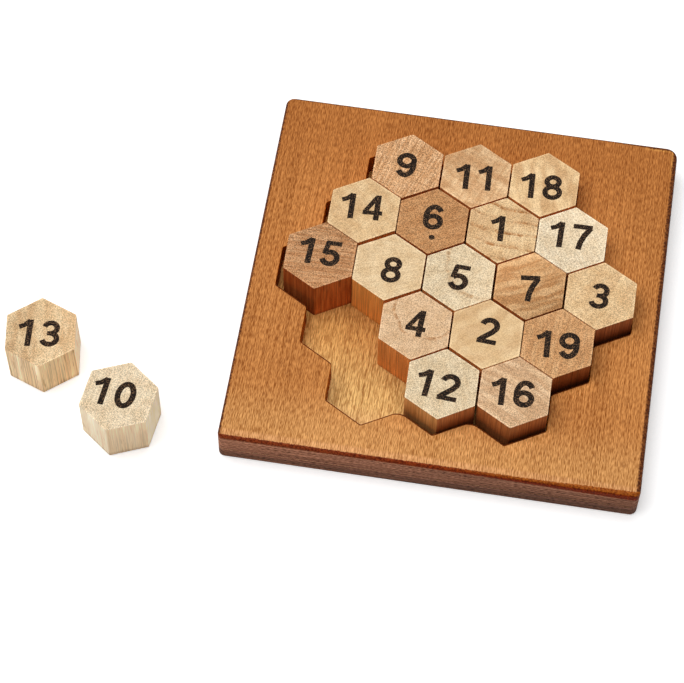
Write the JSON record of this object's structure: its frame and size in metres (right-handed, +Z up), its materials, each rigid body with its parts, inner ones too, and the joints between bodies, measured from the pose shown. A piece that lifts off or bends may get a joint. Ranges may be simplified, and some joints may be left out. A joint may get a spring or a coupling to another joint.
{
  "type": "hexagonal number puzzle",
  "caption": "Square wooden board with a honeycomb-shaped pocket that holds numbered hexagonal wooden tiles, some lifted out beside it.",
  "frame": {"origin": "middle of the board's underside, on the table", "axes": "+X to the right along the board's front edge, +Y to the back, +Z up"},
  "size_m": [0.2173, 0.1449, 0.0227],
  "materials": {
    "board_plate": "stained, satin lacquer",
    "board_base": "stained, satin lacquer",
    "tile_cream": "bare sanded end grain, pale cream",
    "tile_light": "bare sanded end grain, light yellow tan",
    "tile_tan": "bare sanded end grain, tan",
    "tile_pink": "bare sanded end grain, pinkish tan",
    "tile_brown": "bare sanded end grain, brown",
    "ink": "printed ink, matt"
  },
  "bodies": {
    "board": {"board_base": "board_base", "board_frame": "board_plate"},
    "tile_01_body": {"tile_01": "tile_tan"},
    "tile_02_body": {"tile_02": "tile_light"},
    "tile_03_body": {"tile_03": "tile_light"},
    "tile_04_body": {"tile_04": "tile_pink"},
    "tile_05_body": {"tile_05": "tile_light"},
    "tile_06_body": {"tile_06": "tile_brown"},
    "tile_07_body": {"tile_07": "tile_brown"},
    "tile_08_body": {"tile_08": "tile_light"},
    "tile_09_body": {"tile_09": "tile_pink"},
    "tile_10_body": {"tile_10": "tile_cream"},
    "tile_11_body": {"tile_11": "tile_tan"},
    "tile_12_body": {"tile_12": "tile_cream"},
    "tile_13_body": {"tile_13": "tile_light"},
    "tile_14_body": {"tile_14": "tile_light"},
    "tile_15_body": {"tile_15": "tile_brown"},
    "tile_16_body": {"tile_16": "tile_tan"},
    "tile_17_body": {"tile_17": "tile_cream"},
    "tile_18_body": {"tile_18": "tile_tan"},
    "tile_19_body": {"tile_19": "tile_pink"}
  },
  "joints": [
    {"name": "lift_tile_01", "type": "slide", "parent": "board", "child": "tile_01_body", "axis": [0, 0, 1], "range_m": [0, 0.03]},
    {"name": "lift_tile_02", "type": "slide", "parent": "board", "child": "tile_02_body", "axis": [0, 0, 1], "range_m": [0, 0.03]},
    {"name": "lift_tile_03", "type": "slide", "parent": "board", "child": "tile_03_body", "axis": [0, 0, 1], "range_m": [0, 0.03]},
    {"name": "lift_tile_04", "type": "slide", "parent": "board", "child": "tile_04_body", "axis": [0, 0, 1], "range_m": [0, 0.03]},
    {"name": "lift_tile_05", "type": "slide", "parent": "board", "child": "tile_05_body", "axis": [0, 0, 1], "range_m": [0, 0.03]},
    {"name": "lift_tile_06", "type": "slide", "parent": "board", "child": "tile_06_body", "axis": [0, 0, 1], "range_m": [0, 0.03]},
    {"name": "lift_tile_07", "type": "slide", "parent": "board", "child": "tile_07_body", "axis": [0, 0, 1], "range_m": [0, 0.03]},
    {"name": "lift_tile_08", "type": "slide", "parent": "board", "child": "tile_08_body", "axis": [0, 0, 1], "range_m": [0, 0.03]},
    {"name": "lift_tile_09", "type": "slide", "parent": "board", "child": "tile_09_body", "axis": [0, 0, 1], "range_m": [0, 0.03]},
    {"name": "lift_tile_10", "type": "slide", "parent": "board", "child": "tile_10_body", "axis": [0, 0, 1], "range_m": [0, 0.03]},
    {"name": "lift_tile_11", "type": "slide", "parent": "board", "child": "tile_11_body", "axis": [0, 0, 1], "range_m": [0, 0.03]},
    {"name": "lift_tile_12", "type": "slide", "parent": "board", "child": "tile_12_body", "axis": [0, 0, 1], "range_m": [0, 0.03]},
    {"name": "lift_tile_13", "type": "slide", "parent": "board", "child": "tile_13_body", "axis": [0, 0, 1], "range_m": [0, 0.03]},
    {"name": "lift_tile_14", "type": "slide", "parent": "board", "child": "tile_14_body", "axis": [0, 0, 1], "range_m": [0, 0.03]},
    {"name": "lift_tile_15", "type": "slide", "parent": "board", "child": "tile_15_body", "axis": [0, 0, 1], "range_m": [0, 0.03]},
    {"name": "lift_tile_16", "type": "slide", "parent": "board", "child": "tile_16_body", "axis": [0, 0, 1], "range_m": [0, 0.03]},
    {"name": "lift_tile_17", "type": "slide", "parent": "board", "child": "tile_17_body", "axis": [0, 0, 1], "range_m": [0, 0.03]},
    {"name": "lift_tile_18", "type": "slide", "parent": "board", "child": "tile_18_body", "axis": [0, 0, 1], "range_m": [0, 0.03]},
    {"name": "lift_tile_19", "type": "slide", "parent": "board", "child": "tile_19_body", "axis": [0, 0, 1], "range_m": [0, 0.03]}
  ]
}
